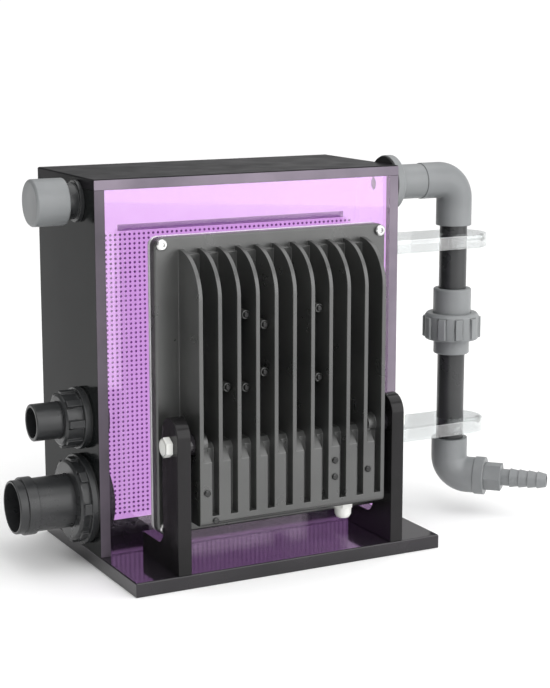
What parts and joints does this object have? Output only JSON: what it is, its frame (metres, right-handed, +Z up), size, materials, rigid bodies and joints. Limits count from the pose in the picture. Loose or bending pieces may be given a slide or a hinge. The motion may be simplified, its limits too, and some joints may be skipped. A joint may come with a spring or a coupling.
{
  "type": "salt chlorine generator",
  "caption": "Salt chlorine generator with a glossy black tank, clear window, tilting finned power unit, side ports and a pipe run with a union.",
  "frame": {"origin": "centre of the base plate's underside", "axes": "+Z up, +X to the right as seen facing the window, the window faces -Y"},
  "size_m": [0.5268, 0.2439, 0.3567],
  "materials": {
    "black_acrylic": "polished",
    "clear_acrylic": "polished",
    "purple_acrylic": "polished",
    "titanium": "satin",
    "stainless": "satin",
    "dark_pvc": "satin",
    "black_steel": "black oxide",
    "bare_aluminium": "brushed",
    "rubber": "matte",
    "grey_pvc": "satin",
    "white_nylon": "satin",
    "black_casting": "satin black",
    "board": "satin",
    "iron_core": "varnished"
  },
  "bodies": {
    "tank": {"anode_plate_1": "titanium", "anode_plate_2": "titanium", "anode_terminal": "titanium", "back_wall": "black_acrylic", "base_plate": "black_acrylic", "bracket_screws": "stainless", "cathode_plate_1": "titanium", "cathode_plate_2": "titanium", "cathode_plate_3": "titanium", "cathode_terminal": "titanium", "cell_cradle": "black_acrylic", "cell_spacers": "dark_pvc", "cell_tie_rods": "stainless", "clip_screws": "stainless", "front_window": "clear_acrylic", "hose_barb": "grey_pvc", "left_bracket": "black_acrylic", "left_pivot_bolt": "white_nylon", "left_wall": "black_acrylic", "lower_clip": "clear_acrylic", "lower_elbow": "grey_pvc", "lower_pipe": "dark_pvc", "lower_port_bulkhead": "dark_pvc", "lower_port_gasket": "rubber", "lower_port_nut": "dark_pvc", "outlet_bulkhead": "grey_pvc", "outlet_gasket": "rubber", "outlet_nipple": "grey_pvc", "perforated_screen": "purple_acrylic", "pivot_washers": "black_acrylic", "right_bracket": "black_acrylic", "right_pivot_bolt": "white_nylon", "right_wall": "black_acrylic", "screen_sill": "black_acrylic", "side_baffle": "purple_acrylic", "terminal_nuts": "stainless", "top_plate": "black_acrylic", "union_end": "grey_pvc", "union_o_ring": "rubber", "union_tailpiece": "grey_pvc", "upper_clip": "clear_acrylic", "upper_elbow": "grey_pvc", "upper_pipe": "dark_pvc", "upper_port_bulkhead": "dark_pvc", "upper_port_gasket": "rubber", "upper_port_nut": "dark_pvc", "vent_stem": "dark_pvc"},
    "power_unit": {"finned_housing": "black_casting", "rear_cover": "bare_aluminium", "cover_gasket": "rubber", "corner_screws": "stainless", "boss_screws": "black_steel", "circuit_board": "board", "rectifier_module": "board", "transformer": "iron_core", "terminal_block": "dark_pvc", "cable_gland": "white_nylon"},
    "union_nut_ring": {"union_nut": "grey_pvc"},
    "cap": {"vent_cap": "grey_pvc"}
  },
  "joints": [
    {"name": "unit_tilt", "type": "hinge", "parent": "tank", "child": "power_unit", "pos_m": [0, -0.09305, 0.1242], "axis": [1, 0, 0], "range_deg": [-1, 14]},
    {"name": "union_nut_spin", "type": "hinge", "parent": "tank", "child": "union_nut_ring", "pos_m": [0.2326, -0.00315, 0.1867], "axis": [0, 0, 1], "continuous": true},
    {"name": "vent_cap_pull", "type": "slide", "parent": "tank", "child": "cap", "axis": [-1, 0, 0], "range_m": [0, 0.04]}
  ]
}
